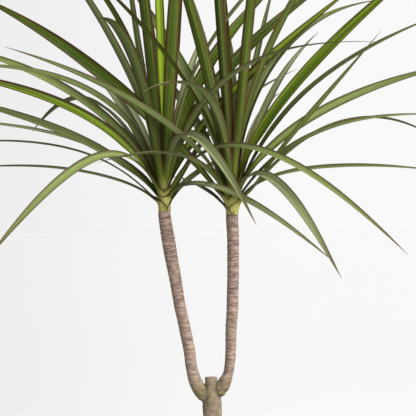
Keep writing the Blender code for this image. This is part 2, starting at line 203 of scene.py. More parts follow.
def new_finish(name, roughness):
    """A new material, its node tree and its shader."""
    finish = bpy.data.materials.new(name)
    finish.use_nodes = True
    tree = finish.node_tree
    shader = tree.nodes["Principled BSDF"]
    shader.inputs["Roughness"].default_value = roughness
    return finish, tree, shader


def add_node(tree, kind, values=(), **settings):
    """A node of that kind. values are (socket, value or output) pairs and settings are its properties."""
    made = tree.nodes.new(kind)
    for key, value in settings.items():
        setattr(made, key, value)
    for socket, value in values:
        if isinstance(value, bpy.types.NodeSocket):
            tree.links.new(value, made.inputs[socket])
        else:
            made.inputs[socket].default_value = value
    return made


def tint_between(tree, share, first, second):
    """The output of a mix of two colours, each a colour or an output, by a share from 0 to 1."""
    mix = tree.nodes.new("ShaderNodeMix")
    mix.data_type = "RGBA"
    for socket, value in ((0, share), (6, first), (7, second)):
        if isinstance(value, bpy.types.NodeSocket):
            tree.links.new(value, mix.inputs[socket])
        elif socket == 0:
            mix.inputs[socket].default_value = value
        else:
            mix.inputs[socket].default_value = (*value, 1.0)
    return mix.outputs[2]


def ramped(tree, value, low, high, smooth=True):
    """The output that goes from 0 to 1 while value goes from low to high."""
    ramp = add_node(tree, "ShaderNodeMapRange", [("Value", value), ("From Min", low), ("From Max", high)])
    ramp.interpolation_type = "SMOOTHSTEP" if smooth else "LINEAR"
    return ramp.outputs["Result"]


def noise_at(tree, place, scale, detail, roughness=0.5):
    """The output of a noise of that scale, detail and roughness."""
    values = [("Vector", place), ("Scale", scale), ("Detail", detail), ("Roughness", roughness)]
    return add_node(tree, "ShaderNodeTexNoise", values).outputs["Fac"]


def product(tree, first, second):
    """The output of two values multiplied, each a number or an output."""
    return add_node(tree, "ShaderNodeMath", [(0, first), (1, second)], operation="MULTIPLY").outputs[0]


def total(tree, first, second):
    """The output of two values added up, each a number or an output."""
    return add_node(tree, "ShaderNodeMath", [(0, first), (1, second)], operation="ADD").outputs[0]


def object_place(tree):
    """The output that gives each point's place in the object's own coordinates."""
    return add_node(tree, "ShaderNodeTexCoord").outputs["Object"]


def noted(tree, name):
    """The output that reads one of a mesh's own notes."""
    return add_node(tree, "ShaderNodeAttribute", attribute_name=name).outputs["Fac"]


def give_notes(mesh, notes):
    """Writes notes, which are lists with one number for each point, onto a mesh."""
    for name, numbers in notes.items():
        mesh.attributes.new(name, "FLOAT", "POINT").data.foreach_set("value", numbers)


def build_weathering():
    """Node group: broad clouds, fine grain and sparse specks, for clay, soil, bark and leaf alike."""
    group = bpy.data.node_groups.new("Weathering", "ShaderNodeTree")
    group.interface.new_socket("Place", in_out="INPUT", socket_type="NodeSocketVector")
    for name in ("Cloud Scale", "Grain Scale", "Speck Scale"):
        group.interface.new_socket(name, in_out="INPUT", socket_type="NodeSocketFloat")
    for name in ("Clouds", "Grain", "Specks"):
        group.interface.new_socket(name, in_out="OUTPUT", socket_type="NodeSocketFloat")
    entry = group.nodes.new("NodeGroupInput").outputs
    leaving = group.nodes.new("NodeGroupOutput").inputs
    clouds = noise_at(group, entry["Place"], entry["Cloud Scale"], 4.0, 0.6)
    grain = noise_at(group, entry["Place"], entry["Grain Scale"], 6.0, 0.7)
    specks = add_node(group, "ShaderNodeTexVoronoi", [
        ("Vector", entry["Place"]), ("Scale", entry["Speck Scale"]), ("Randomness", 1.0)])
    group.links.new(ramped(group, clouds, 0.35, 0.68), leaving["Clouds"])
    group.links.new(grain, leaving["Grain"])
    group.links.new(ramped(group, specks.outputs["Distance"], 0.22, 0.10), leaving["Specks"])
    return group


weathering = build_weathering()


def weathered(tree, cloud_scale, grain_scale, speck_scale):
    """The outputs of the weathering group, placed by the object's own coordinates."""
    made = tree.nodes.new("ShaderNodeGroup")
    made.node_tree = weathering
    tree.links.new(object_place(tree), made.inputs["Place"])
    made.inputs["Cloud Scale"].default_value = cloud_scale
    made.inputs["Grain Scale"].default_value = grain_scale
    made.inputs["Speck Scale"].default_value = speck_scale
    return made.outputs


def bumped(tree, shader, height, distance, strength=1.0):
    """Feeds the shader's normal from a height."""
    values = [("Height", height), ("Distance", distance), ("Strength", strength)]
    bump = add_node(tree, "ShaderNodeBump", values)
    tree.links.new(bump.outputs["Normal"], shader.inputs["Normal"])


def fired_clay():
    """Red earthenware with a pale bloom of salts, and darker with damp low down."""
    finish, tree, shader = new_finish("fired_clay", 0.86)
    wear = weathered(tree, 16.0, 420.0, 260.0)
    height = add_node(tree, "ShaderNodeSeparateXYZ", [("Vector", object_place(tree))]).outputs["Z"]
    body = tint_between(tree, wear["Grain"], CLAY_DARK, CLAY_LIGHT)
    specked = tint_between(tree, product(tree, wear["Specks"], 0.55), body, CLAY_SPECK)
    low_down = ramped(tree, height, POT_HEIGHT * 0.75, 0.0)
    bloom = product(tree, wear["Clouds"], product(tree, low_down, 0.55))
    salted = tint_between(tree, bloom, specked, SALTS)
    damp = product(tree, ramped(tree, height, 0.035, 0.005), 0.45)
    tree.links.new(tint_between(tree, damp, salted, CLAY_DAMP), shader.inputs["Base Color"])
    tree.links.new(ramped(tree, wear["Grain"], -0.6, 1.1), shader.inputs["Roughness"])
    relief = total(tree, wear["Grain"], product(tree, wear["Specks"], -0.8))
    bumped(tree, shader, relief, 0.0005, 0.7)
    return finish


def pot_point(radius, height, angle):
    """Slightly out of round, with the faint rings that the mould's turning leaves."""
    lean = 0.0004 * math.sin(2 * angle + 0.7) + 0.0001 * math.sin(height * 2600 + 2 * math.sin(angle))
    if radius < DRAIN_CIRCLE + 2 * DRAIN_RADIUS:
        lean = 0.0
    return spot_round(min(radius + lean, RIM_RADIUS), angle, height)


def make_pot():
    mouth = RIM_RADIUS - RIM_STEP - WALL
    rim_low = POT_HEIGHT - RIM_DEPTH
    corners = [
        (0.0, 0.0),
        (BASE_RADIUS, 0.0),
        (RIM_RADIUS - RIM_STEP, rim_low),
        (RIM_RADIUS, rim_low),
        (RIM_RADIUS, POT_HEIGHT),
        (mouth, POT_HEIGHT),
        (mouth, rim_low),
        (BASE_RADIUS - WALL, FLOOR),
        (0.0, FLOOR),
    ]
    outline = filled_in(rounded(corners, RIM_EASE), PROFILE_STEP)
    points, faces = turned_shell(outline, POT_SIDES, pot_point)
    pot = piece("clay_pot", points, faces, fired_clay(), "pot")
    holes = bmesh.new()
    for number in range(DRAIN_HOLES):
        angle = 2 * math.pi * (number + 0.5) / DRAIN_HOLES
        made = bmesh.ops.create_cone(
            holes, cap_ends=True, segments=28, radius1=DRAIN_RADIUS, radius2=DRAIN_RADIUS, depth=4 * FLOOR)
        bmesh.ops.translate(holes, verts=made["verts"], vec=spot_round(DRAIN_CIRCLE, angle))
    cutter = new_object("drain_holes", bpy.data.meshes.new("drain_holes"))
    holes.to_mesh(cutter.data)
    holes.free()
    reshape(pot, "DIFFERENCE", object=cutter)
    bpy.data.objects.remove(cutter)


make_pot()


# Potting soil
# Damp peat with bark chips and grains of perlite, filled to a little below the rim and pressed down by
# watering. It lies in soft lumps, with loose crumbs on top.

SOIL_TOP = 0.166
SOIL_LUMP = 0.0022
STEM_FOOT_RADIUS = 0.0140
GAP = 0.0003
SOIL_SIDES = 150
SOIL_RINGS = 46
BARE_ROUND_STEM = 0.024
EDGE_FLAT = 0.012
PEAT_DARK = (0.012, 0.008, 0.005)
PEAT_LIGHT = (0.085, 0.055, 0.036)
PEAT_DRY = (0.105, 0.072, 0.048)
BARK_CHIP_DARK = (0.070, 0.032, 0.018)
BARK_CHIP_LIGHT = (0.270, 0.150, 0.085)
PERLITE_DARK = (0.52, 0.50, 0.46)
PERLITE_LIGHT = (0.86, 0.85, 0.81)


def wall_inside(height):
    """The inner radius of the pot at a height."""
    top = RIM_RADIUS - RIM_STEP
    return min(BASE_RADIUS + (top - BASE_RADIUS) * height / (POT_HEIGHT - RIM_DEPTH), top) - WALL


def soil_level(radius, angle):
    """The lie of the soil: broad lumps that flatten out at the pot and round the stem, and small clods."""
    inside = wall_inside(SOIL_TOP)
    edge = min(1.0, (radius - STEM_FOOT_RADIUS) / EDGE_FLAT, (inside - radius) / EDGE_FLAT)
    lumps = math.sin(5 * angle + 90 * radius) + math.sin(9 * angle - 160 * radius + 1.3)
    spot = spot_round(radius, angle)
    clods = 0.0011 * noise.noise(spot * 190) + 0.0006 * noise.noise(spot * 520)
    return SOIL_TOP + SOIL_LUMP * 0.5 * lumps * max(0.0, edge) + clods


def soil_point(radius, height, angle):
    return spot_round(radius, angle, soil_level(radius, angle) if height > SOIL_TOP - 0.0001 else height)


def peat():
    finish, tree, shader = new_finish("peat", 0.95)
    wear = weathered(tree, 60.0, 900.0, 420.0)
    damp = tint_between(tree, wear["Grain"], PEAT_DARK, PEAT_LIGHT)
    dry = tint_between(tree, product(tree, wear["Clouds"], 0.45), damp, PEAT_DRY)
    tree.links.new(dry, shader.inputs["Base Color"])
    bumped(tree, shader, wear["Grain"], 0.0016)
    return finish


def grainy(name, roughness, scales, dark, light, relief):
    """A plain finish that varies between two colours by its grain."""
    finish, tree, shader = new_finish(name, roughness)
    wear = weathered(tree, *scales)
    tree.links.new(tint_between(tree, wear["Grain"], dark, light), shader.inputs["Base Color"])
    bumped(tree, shader, wear["Grain"], relief)
    return finish


def crumbs(name, count, sizes, flatness, finish, draw):
    """Loose crumbs that lie half sunk in the soil, each a small uneven lump."""
    points = []
    faces = []
    for _ in range(count):
        radius = math.sqrt(draw.uniform(BARE_ROUND_STEM**2, (wall_inside(SOIL_TOP) - 0.004) ** 2))
        angle = draw.uniform(0.0, 2 * math.pi)
        size = draw.uniform(*sizes)
        turn = draw.uniform(0.0, math.pi)
        spot = spot_round(radius, angle, soil_level(radius, angle))
        lump = bmesh.new()
        bmesh.ops.create_icosphere(lump, subdivisions=2, radius=size)
        first = len(points)
        for vertex in lump.verts:
            shape = vertex.co * (1.0 + 0.45 * noise.noise(vertex.co / size * 1.3 + spot * 900))
            shape.z *= flatness
            shape.x *= 1.35
            point = Vector((
                shape.x * math.cos(turn) - shape.y * math.sin(turn),
                shape.x * math.sin(turn) + shape.y * math.cos(turn),
                shape.z + size * flatness * 0.25,
            ))
            points.append(point + spot)
        faces += [tuple(first + vertex.index for vertex in face.verts) for face in lump.faces]
        lump.free()
    made = piece(name, points, faces, finish, "soil")


def make_soil():
    hole = STEM_FOOT_RADIUS + GAP
    shoulder = POT_HEIGHT - RIM_DEPTH
    foot_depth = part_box("trunk")[0][2]
    wide = wall_inside(shoulder) - 2 * GAP
    narrow = wall_inside(FLOOR) - 0.003
    outline = [(0.0, FLOOR + GAP), (narrow, FLOOR + GAP), (wide, shoulder)]
    outline += [(wide + (hole - wide) * ring / SOIL_RINGS, SOIL_TOP) for ring in range(SOIL_RINGS + 1)]
    outline += [(hole, foot_depth - GAP), (0.0, foot_depth - GAP)]
    points, faces = turned_shell(outline, SOIL_SIDES, soil_point)
    damp_peat = peat()
    bed = piece("soil_bed", points, faces, damp_peat, "soil", 60)
    bark = grainy("bark_chip", 0.85, (120.0, 1400.0, 500.0), BARK_CHIP_DARK, BARK_CHIP_LIGHT, 0.0006)
    perlite = grainy("perlite", 0.90, (200.0, 1600.0, 900.0), PERLITE_DARK, PERLITE_LIGHT, 0.0005)
    draw = random.Random(11)
    crumbs("peat_crumbs", 420, (0.0012, 0.0034), 0.75, damp_peat, draw)
    crumbs("bark_chips", 90, (0.0020, 0.0050), 0.38, bark, draw)
    crumbs("perlite_grains", 60, (0.0009, 0.0021), 0.85, perlite, draw)


make_soil()


# Trunk
# One woody piece that grew as one: the thick stem, its pruned stump, and two canes out of swollen collars.
# Each leaf that fell has left a scar right round the bark. The collars are wrinkled and tinged with algae.
# Painted shade darkens the scar grooves, the collar hollows and the seams.

STEM_FOOT = 0.066
STEM_FREE = 0.172
STUMP_FOOT = 0.4165
STUMP_TOP = 0.434
STUMP_REACH = 0.0088
SCAR_PITCH = 0.0085
CREASE_WIDTH = 0.00075
CREASE_DEPTH = 0.00055
LIP_HEIGHT = 0.00030
RING_STEP = 0.00085
STEM_SIDES = 60
CANE_SIDES = 44
BARK_SHARP = 70
LEFT_CROWN = Vector((-0.062, 0.013, 0.652))
RIGHT_CROWN = Vector((0.026, -0.011, 0.648))
FORK = Vector((0.0, 0.0, 0.412))
LEFT_COLLAR = Vector((-0.0135, -0.002, 0.4105))
RIGHT_COLLAR = Vector((0.0145, -0.002, 0.4195))
COLLAR_REACH = 0.018
FORK_REACH = 0.034
SEAM_REACH = 0.003
SEAM_WIDTH = 0.0018
SEAM_DEPTH = 0.0006
OLD_BARK_TOP = 0.402
OLD_BARK_FADE = 0.048
# How bold the ring scars are, by height
RING_BOLDNESS = (
    (0.0, 0.30), (0.400, 0.30), (0.412, 0.12), (0.440, 0.25), (0.480, 0.60), (0.560, 1.0), (1.0, 1.0),
)
# Middle line and thickness of the stem and of each cane: radii by height for the stem, by share for a cane
STEM_KNOTS = (
    (0.0, 0.0, STEM_FOOT), (0.0, 0.0, STEM_FREE), (0.0015, 0.001, 0.235), (0.0005, -0.001, 0.310),
    (0.0005, 0.0, 0.380), (-0.0002, 0.0, 0.403), (-0.0010, 0.0, 0.420), (-0.0012, 0.0, STUMP_TOP),
)
STEM_RADII = (
    (STEM_FOOT, STEM_FOOT_RADIUS), (STEM_FREE, STEM_FOOT_RADIUS), (0.190, 0.0134), (0.230, 0.0127),
    (0.300, 0.0122), (0.380, 0.0119), (0.398, 0.0123), (0.411, 0.0122), (0.418, 0.0098), (0.424, 0.0080),
    (STUMP_TOP, 0.0078),
)
LEFT_CANE_KNOTS = (
    (-0.0025, 0.0, 0.4060), (-0.0125, 0.0, 0.4135), (-0.0208, 0.001, 0.4270), (-0.0268, 0.002, 0.4470),
    (-0.0300, 0.003, 0.4710), (-0.0355, 0.005, 0.4980), (-0.0412, 0.007, 0.5230), (-0.0484, 0.009, 0.5640),
    (-0.0570, 0.012, 0.6110), (-0.0618, 0.013, 0.6420), tuple(LEFT_CROWN),
)
LEFT_CANE_RADII = (
    (0.0, 0.0088), (0.05, 0.0094), (0.11, 0.0087), (0.18, 0.0073), (0.35, 0.0075), (0.6, 0.0079),
    (0.83, 0.0086), (0.98, 0.0081), (0.993, 0.0078), (1.0, 0.0062),
)
RIGHT_CANE_KNOTS = (
    (0.0020, 0.0, 0.4115), (0.0115, 0.0, 0.4205), (0.0187, -0.001, 0.4325), (0.0226, -0.002, 0.4470),
    (0.0243, -0.003, 0.4710), (0.0249, -0.005, 0.4980), (0.0265, -0.006, 0.5270), (0.0272, -0.008, 0.5640),
    (0.0272, -0.010, 0.6110), (0.0261, -0.011, 0.6400), tuple(RIGHT_CROWN),
)
RIGHT_CANE_RADII = (
    (0.0, 0.0088), (0.05, 0.0098), (0.09, 0.0086), (0.14, 0.0066), (0.25, 0.0070), (0.6, 0.0076),
    (0.83, 0.0078), (0.98, 0.0079), (0.993, 0.0077), (1.0, 0.0062),
)
CANE_DARK = (0.140, 0.090, 0.067)
CANE_LIGHT = (0.400, 0.284, 0.212)
STEM_DARK = (0.088, 0.066, 0.040)
STEM_LIGHT = (0.285, 0.222, 0.148)
STEM_BLOTCH = (0.250, 0.175, 0.128)
BARK_GRAIN = (0.090, 0.058, 0.044)
BARK_SPECK = (0.66, 0.58, 0.50)
MOSS = (0.160, 0.135, 0.048)
SCAR_AND_SHADE = (0.035, 0.020, 0.014)
WOOD_DARK = (0.120, 0.090, 0.065)
WOOD_LIGHT = (0.240, 0.190, 0.145)


def share_along(pairs, s):
    """Reads a value at s from (s, value) pairs, in straight steps."""
    for (low, first), (high, second) in zip(pairs, pairs[1:]):
        if s <= high:
            return first + (second - first) * (s - low) / (high - low)
    return pairs[-1][1]


def smooth_path(knots, step):
    """Evenly spaced points on a smooth curve through the knots, that far apart, and the curve's length."""
    knots = [Vector(knot) for knot in knots]
    fine = []
    for index in range(len(knots) - 1):
        before = knots[max(index - 1, 0)]
        start = knots[index]
        end = knots[index + 1]
        after = knots[min(index + 2, len(knots) - 1)]
        for number in range(12):
            t = number / 12.0
            first = (end - before) * 0.5
            last = (after - start) * 0.5
            fine.append(
                start * (2 * t**3 - 3 * t**2 + 1) + first * (t**3 - 2 * t**2 + t)
                + end * (-2 * t**3 + 3 * t**2) + last * (t**3 - t**2))
    fine.append(knots[-1])
    lengths = [0.0]
    for start, end in zip(fine, fine[1:]):
        lengths.append(lengths[-1] + (end - start).length)
    count = round(lengths[-1] / step)
    found = []
    at = 0
    for number in range(count + 1):
        wanted = lengths[-1] * number / count
        while at < len(fine) - 2 and lengths[at + 1] < wanted:
            at += 1
        found.append(fine[at].lerp(fine[at + 1], (wanted - lengths[at]) / (lengths[at + 1] - lengths[at])))
    return found, lengths[-1]


def scars_along(length, draw):
    """Where leaves once sat: (distance, tilt, direction, waviness, start) of each scar."""
    scars = []
    at = 0.002
    while at < length - 0.003:
        tilt = draw.uniform(0.0002, 0.0013)
        direction = draw.uniform(0, 2 * math.pi)
        waviness = draw.uniform(0.0001, 0.0004)
        scars.append((at, tilt, direction, waviness, draw.uniform(0, 2 * math.pi)))
        at += SCAR_PITCH * draw.uniform(0.50, 1.35)
    return scars


def ringed_shell(knots, radius_at, sides, plain_below, seed):
    """Points, faces and a crease value for each point of a cane whose scars are creases over low lips. The
    crease value darkens the scar, partly as its own colour and partly as painted shade in the groove.
    """
    draw = random.Random(seed)
    path, length = smooth_path(knots, RING_STEP)
    scars = scars_along(length, draw)
    points = []
    creases = []
    nearest = 0
    for number, centre in enumerate(path):
        s = number / (len(path) - 1)
        along = (path[min(number + 1, len(path) - 1)] - path[max(number - 1, 0)]).normalized()
        across = Vector((0.0, 1.0, 0.0)).cross(along).normalized()
        out = along.cross(across)
        distance = s * length
        while nearest < len(scars) - 1 and scars[nearest + 1][0] < distance:
            nearest += 1
        near = scars[max(0, nearest - 1):nearest + 3]
        for side in range(sides):
            angle = 2 * math.pi * side / sides
            radius = radius_at(s)
            crease = 0.0
            bold = share_along(RING_BOLDNESS, centre.z)
            if centre.z > plain_below:
                broad = 0.022 * math.sin(2 * angle + seed + 11 * s)
                radius *= 1.0 + broad + 0.012 * math.sin(5 * angle + 31 * s)
                for place, tilt, direction, wave, start in near:
                    level = place + tilt * math.cos(angle - direction) + wave * math.sin(3 * angle + start)
                    off = distance - level
                    open_here = 0.55 + 0.45 * math.sin(angle + start)
                    line = math.exp(-((off / CREASE_WIDTH) ** 2))
                    lip = math.exp(-(((off + 0.0018) / 0.0016) ** 2))
                    radius += (LIP_HEIGHT * lip - CREASE_DEPTH * line) * (0.45 + 0.55 * open_here) * bold
                    # The darkening of the scar follows the groove: partly the scar's own colour, partly
                    # painted shade
                    crease = max(crease, line * (0.30 + 0.70 * open_here) * bold)
            points.append(centre + (across * math.cos(angle) + out * math.sin(angle)) * radius)
            creases.append(crease)
    faces = ring_faces(len(path), sides)
    first_pole = len(points)
    points += [path[0], path[-1]]
    creases += [0.0, 0.0]
    top = (len(path) - 1) * sides
    for side in range(sides):
        following = (side + 1) % sides
        faces.append((first_pole, following, side))
        faces.append((first_pole + 1, top + side, top + following))
    return points, faces, creases


def ringed_bark():
    """Grey-brown bark: pinkish canes, an olive old stem, dark scars that are partly painted shade, painted
    shade in the collar hollows and seams, and a tinge of green at the collars.
    """
    finish, tree, shader = new_finish("ringed_bark", 0.82)
    wear = weathered(tree, 110.0, 900.0, 480.0)
    place = object_place(tree)
    old = noted(tree, "old")
    stretched = add_node(tree, "ShaderNodeMapping", [("Vector", place), ("Scale", (1.0, 1.0, 3.2))])
    bands = noise_at(tree, stretched.outputs[0], 95.0, 5.0, 0.65)
    patches = noise_at(tree, place, 210.0, 3.0)
    streak = ramped(tree, bands, 0.34, 0.66)
    patch = ramped(tree, patches, 0.32, 0.68)
    patched = product(tree, old, 0.70)
    banded = total(tree, 1.0, product(tree, old, -0.70))
    tone = total(tree, product(tree, streak, banded), product(tree, patch, patched))
    cane = tint_between(tree, tone, CANE_DARK, CANE_LIGHT)
    stem = tint_between(tree, tone, STEM_DARK, STEM_LIGHT)
    blotched = tint_between(tree, product(tree, wear["Clouds"], 0.45), stem, STEM_BLOTCH)
    aged = tint_between(tree, old, cane, blotched)
    grain = product(tree, ramped(tree, wear["Grain"], 0.62, 0.38), 0.32)
    grained = tint_between(tree, grain, aged, BARK_GRAIN)
    specked = tint_between(tree, product(tree, wear["Specks"], 0.25), grained, BARK_SPECK)
    tinge = product(tree, noted(tree, "moss"), ramped(tree, patches, 0.30, 0.58))
    mossy = tint_between(tree, tinge, specked, MOSS)
    # Darkens the scars, partly with their own colour and partly with painted shade in the grooves, and lays
    # painted shade in the collar hollows, pits and seams
    scarred_and_shaded = tint_between(tree, product(tree, noted(tree, "crease"), 0.85), mossy, SCAR_AND_SHADE)
    rings = add_node(tree, "ShaderNodeTexWave", [("Vector", place), ("Scale", 330.0), ("Distortion", 4.0)],
                     wave_type="RINGS", rings_direction="Z")
    wood = tint_between(tree, rings.outputs["Fac"], WOOD_DARK, WOOD_LIGHT)
    tree.links.new(tint_between(tree, noted(tree, "cut"), scarred_and_shaded, wood), shader.inputs["Base Color"])
    tree.links.new(ramped(tree, wear["Grain"], -0.8, 1.0), shader.inputs["Roughness"])
    relief = total(tree, product(tree, bands, 0.8), wear["Grain"])
    bumped(tree, shader, relief, 0.0010, 0.85)
    return finish


def fused(name, shells, finish, stands_for):
    """One body from several closed shells, joined where they cross."""
    made = piece(name, shells[0][0], shells[0][1], finish, stands_for, BARK_SHARP)
    others = bpy.data.collections.new(name + "_shells")
    bpy.context.scene.collection.children.link(others)
    for number, (points, faces, _) in enumerate(shells[1:]):
        mesh = bare_mesh(f"{name}_shell_{number}", points, faces)
        mesh.materials.append(finish)
        others.objects.link(bpy.data.objects.new(mesh.name, mesh))
    reshape(made, "UNION", operand_type="COLLECTION", collection=others)
    for thing in list(others.objects):
        bpy.data.objects.remove(thing)
    bpy.data.collections.remove(others)
    return made


def ease_seams(mesh, tree):
    """Softens the sharp lines where the canes leave the stem, most at the left, and returns the lines."""
    body = bmesh.new()
    body.from_mesh(mesh)
    lines = [vertex.co.copy() for vertex in body.verts if tree.find(vertex.co)[2] > 1e-6]
    seams = KDTree(len(lines))
    for number, place in enumerate(lines):
        seams.insert(place, number)
    seams.balance()
    everywhere = 1.0
    for share, limit, rounds in ((1.7, FORK.x, 8), (1.0, everywhere, 6), (0.5, everywhere, 6)):
        reach = SEAM_REACH * share
        near = [vertex for vertex in body.verts
                if vertex.co.x < limit and seams.find(vertex.co)[2] < reach]
        for _ in range(rounds):
            bmesh.ops.smooth_vert(
                body, verts=near, factor=0.5, use_axis_x=True, use_axis_y=True, use_axis_z=True)
    body.to_mesh(mesh)
    body.free()
    return seams


def dress_trunk(mesh, tree, creases, seams):
    """Wrinkles the collars and notes at each point how dark the bark is, with painted shade in the collar
    hollows, pits and seams, and how mossy, old or freshly cut it is.
    """
    notes = {"crease": [], "moss": [], "old": [], "cut": []}
    normals = [vertex.normal.copy() for vertex in mesh.vertices]
    for vertex, normal in zip(mesh.vertices, normals):
        place = vertex.co.copy()
        to_collar = min((place - LEFT_COLLAR).length, (place - RIGHT_COLLAR).length)
        knot = max(0.0, 1.0 - to_collar / COLLAR_REACH)
        middle = max(0.0, 1.0 - (place - FORK).length / FORK_REACH)
        on_cut = place.z > STUMP_TOP - 0.0016 and normal.z > 0.7 and abs(place.x) < 0.009
        notes["moss"].append(min(1.0, 1.5 * knot + 0.45 * middle))
        notes["old"].append(1.0 - clamped((place.z - OLD_BARK_TOP) / OLD_BARK_FADE))
        notes["cut"].append(1.0 if on_cut else 0.0)
        wrinkle = noise.noise(Vector((place.x * 210, place.y * 210, place.z * 520)))
        pit = noise.noise(place * 330 + Vector((5.3, 0.0, 0.0)))
        # Painted shade along the seams where the canes leave the stem, stronger at the right; the same
        # amount dents the bark there
        bold = 0.18 + 0.62 * clamped((place.x - 0.002) / 0.008)
        seam_dent_and_shade = math.exp(-((seams.find(place)[2] / SEAM_WIDTH) ** 2)) * max(0.0, bold + 0.9 * wrinkle)
        # Painted shade in the hollows of the collar wrinkles and in the pits, which are also pressed in
        # below
        dark = min(1.0, 2.6 * knot) * max(0.0, -1.5 * wrinkle - 0.1)
        dark += min(1.0, 2.0 * knot) * max(0.0, 2.4 * pit - 0.7)
        dead = 0.16 if place.z > STUMP_FOOT and abs(place.x) < STUMP_REACH else 0.0
        notes["crease"].append(min(1.0, creases[tree.find(place)[1]] + dark + seam_dent_and_shade + dead))
        if STEM_FREE < place.z and not on_cut:
            knob = noise.noise(place * 190 + Vector((3.1, 0.0, 0.0)))
            swell = min(1.0, 1.6 * knot) * (0.0010 * wrinkle + 0.0011 * knob - 0.0006 * max(0.0, pit))
            vertex.co = place + normal * (swell + 0.00016 * knob - SEAM_DEPTH * seam_dent_and_shade)
    give_notes(mesh, notes)


def make_trunk():
    span = STUMP_TOP - STEM_FOOT
    stem_radii = [((height - STEM_FOOT) / span, radius) for height, radius in STEM_RADII]
    offsets = (-0.012, -0.004, 0.004, 0.012)

    def eased(pairs):
        def radius_at(s):
            nearby = [share_along(pairs, clamped(s + offset)) for offset in offsets]
            return sum(nearby) / len(nearby)
        return radius_at

    def cane_radius(pairs):
        ease = eased(pairs)
        return lambda s: ease(s) if s < 0.97 else share_along(pairs, s)

    shells = [
        ringed_shell(STEM_KNOTS, eased(stem_radii), STEM_SIDES, STEM_FREE, 4),
        ringed_shell(LEFT_CANE_KNOTS, cane_radius(LEFT_CANE_RADII), CANE_SIDES, 0.0, 5),
        ringed_shell(RIGHT_CANE_KNOTS, cane_radius(RIGHT_CANE_RADII), CANE_SIDES, 0.0, 9),
    ]
    trunk = fused("ringed_trunk", shells, ringed_bark(), "trunk")
    creases = []
    tree = KDTree(sum(len(points) for points, _, _ in shells))
    for points, _, values in shells:
        for point, value in zip(points, values):
            tree.insert(point, len(creases))
            creases.append(value)
    tree.balance()
    seams = ease_seams(trunk.data, tree)
    dress_trunk(trunk.data, tree, creases, seams)
    soften(trunk.data, BARK_SHARP)


make_trunk()


# Leaf crowns
# Each cane ends in a short shoot wrapped in the pale clasping bases of its leaves. A leaf is a long smooth
# strap with parallel veins and a thin dark red margin. Old leaves arch over, and young ones stand upright.
# Each shown leaf's lightness is partly painted light and shade, and the greyer leaves carry a pale painted
# sheen.

# Each row: tip (x, y, z from the foot of its shoot), knee (share of the way out to the tip, height),
# width and roll in degrees. A leaf leaves its shoot towards its knee and bends over it to its tip.
LEFT_LEAVES = (
    ((-0.275, -0.060, 0.181), (0.17, 0.200), 0.014, -40),
    ((-0.312, 0.040, 0.224), (0.21, 0.172), 0.014, -50),
    ((-0.304, -0.040, 0.180), (0.20, 0.148), 0.015, -60),
    ((-0.307, -0.020, 0.155), (0.18, 0.094), 0.014, -50),
    ((-0.315, 0.060, 0.121), (0.17, 0.108), 0.012, -25),
    ((-0.308, 0.090, 0.086), (0.33, 0.116), 0.010, 10),
    ((-0.206, -0.230, -0.066), (0.27, 0.157), 0.015, -35),
    ((-0.270, -0.050, 0.052), (0.23, 0.067), 0.011, 10),
    ((-0.203, 0.260, 0.115), (0.45, 0.232), 0.013, 20),
    ((-0.188, 0.060, 0.394), (0.08, 0.181), 0.013, 70),
    ((-0.157, 0.020, 0.373), (0.08, 0.226), 0.015, 60),
    ((-0.074, -0.200, 0.225), (0.45, 0.250), 0.016, 5),
    ((-0.066, 0.100, 0.423), (0.60, 0.213), 0.013, 20),
    ((-0.044, -0.075, 0.427), (0.50, 0.233), 0.017, 10),
    ((-0.014, 0.045, 0.425), (0.50, 0.235), 0.013, 0),
    ((0.025, -0.115, 0.403), (0.35, 0.205), 0.017, -10),
    ((0.175, 0.120, 0.335), (0.07, 0.180), 0.016, 50),
    ((0.255, 0.120, 0.336), (0.09, 0.178), 0.016, 55),
    ((0.255, -0.215, 0.197), (0.157, 0.220), 0.011, 0),
    ((0.158, -0.100, 0.317), (0.10, 0.215), 0.011, -25),
    ((0.293, -0.200, -0.054), (0.25, 0.173), 0.014, 25),
    ((0.207, -0.180, -0.062), (0.17, 0.078), 0.014, 20),
    ((0.111, -0.290, -0.018), (0.135, 0.182), 0.016, 15),
    ((0.110, 0.100, 0.075), (0.35, 0.062), 0.011, 20),
    ((0.270, 0.100, 0.316), (0.10, 0.122), 0.015, 55),
)
RIGHT_LEAVES = (
    ((-0.350, 0.060, 0.295), (0.39, 0.188), 0.018, -65),
    ((-0.283, -0.090, 0.205), (0.18, 0.135), 0.013, -50),
    ((-0.201, -0.110, 0.313), (0.15, 0.180), 0.011, 5),
    ((-0.166, 0.110, 0.344), (0.15, 0.165), 0.014, -50),
    ((-0.099, -0.050, 0.396), (0.31, 0.211), 0.015, 50),
    ((-0.105, -0.260, 0.136), (0.13, 0.205), 0.015, 0),
    ((-0.035, -0.030, 0.451), (0.40, 0.250), 0.014, 30),
    ((0.044, -0.060, 0.432), (0.30, 0.198), 0.014, -30),
    ((0.000, 0.260, 0.260), (0.30, 0.190), 0.014, 0),
    ((0.150, 0.060, 0.390), (0.08, 0.190), 0.014, -60),
    ((0.268, -0.030, 0.338), (0.12, 0.155), 0.017, 65),
    ((0.222, 0.200, 0.303), (0.10, 0.262), 0.013, 20),
    ((0.281, 0.030, 0.262), (0.22, 0.183), 0.012, 30),
    ((0.182, -0.100, 0.224), (0.45, 0.105), 0.011, 50),
    ((0.300, -0.020, 0.193), (0.19, 0.143), 0.014, 60),
    ((0.298, 0.050, 0.130), (0.25, 0.137), 0.012, 25),
    ((0.304, 0.220, 0.100), (0.50, 0.194), 0.011, 0),
    ((0.288, 0.030, 0.052), (0.17, 0.082), 0.012, 25),
    ((0.117, -0.280, -0.072), (0.25, 0.116), 0.016, 20),
    ((-0.085, 0.040, 0.046), (0.55, 0.048), 0.011, -10),
    ((-0.160, -0.190, 0.060), (0.22, 0.100), 0.012, 0),
)
